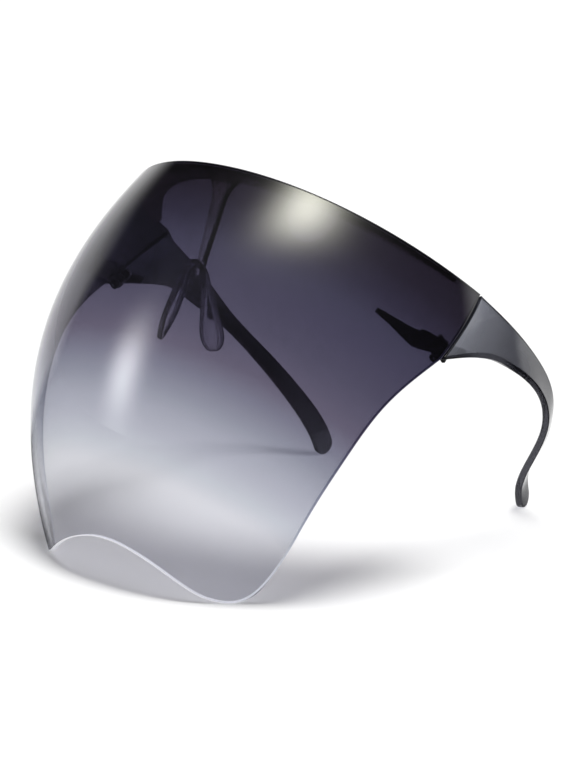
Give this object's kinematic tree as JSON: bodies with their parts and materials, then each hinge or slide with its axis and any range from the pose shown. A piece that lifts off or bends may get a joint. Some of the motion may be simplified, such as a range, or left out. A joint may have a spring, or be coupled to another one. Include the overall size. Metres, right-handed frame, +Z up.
{
  "type": "shield sunglasses",
  "caption": "Full-face shield sunglasses: tall wrap-around gradient lens with a brow frame, a nose pad on a long stem and two folding temples.",
  "frame": {"origin": "on the surface it stands on, centred under the bounding box; the glasses stand on the two lower lobes of the lens and the two temple tips", "axes": "+Z up, +X to the side of the right-hand nodes, -Y to the front of the lens, so the temples run towards +Y"},
  "size_m": [0.156, 0.1834, 0.1359],
  "materials": {
    "lens_tint": "polished, smoke gradient from dark at the brow to nearly clear at the foot",
    "brow_plastic": "polished translucent smoke",
    "pad_clear": "clear soft silicone",
    "temple_smoke": "polished translucent dark grey",
    "hinge_black": "satin black",
    "screw_steel": "turned"
  },
  "bodies": {
    "front": {"lens": "lens_tint", "brow_frame": "brow_plastic", "nose_pad": "pad_clear", "hinge_plate_right": "hinge_black", "hinge_plate_left": "hinge_black", "hinge_screw_right": "screw_steel", "hinge_screw_left": "screw_steel"},
    "right_temple": {"temple_right": "temple_smoke", "hinge_leaf_right": "hinge_black"},
    "left_temple": {"temple_left": "temple_smoke", "hinge_leaf_left": "hinge_black"}
  },
  "joints": [
    {"name": "right_fold", "type": "hinge", "parent": "front", "child": "right_temple", "pos_m": [0.07178, -0.01173, 0.07762], "axis": [-0.1569, 0.8505, 0.502], "range_deg": [0, 90]},
    {"name": "left_fold", "type": "hinge", "parent": "front", "child": "left_temple", "pos_m": [-0.07178, -0.01173, 0.07762], "axis": [-0.1569, -0.8505, -0.502], "range_deg": [0, 72]}
  ]
}
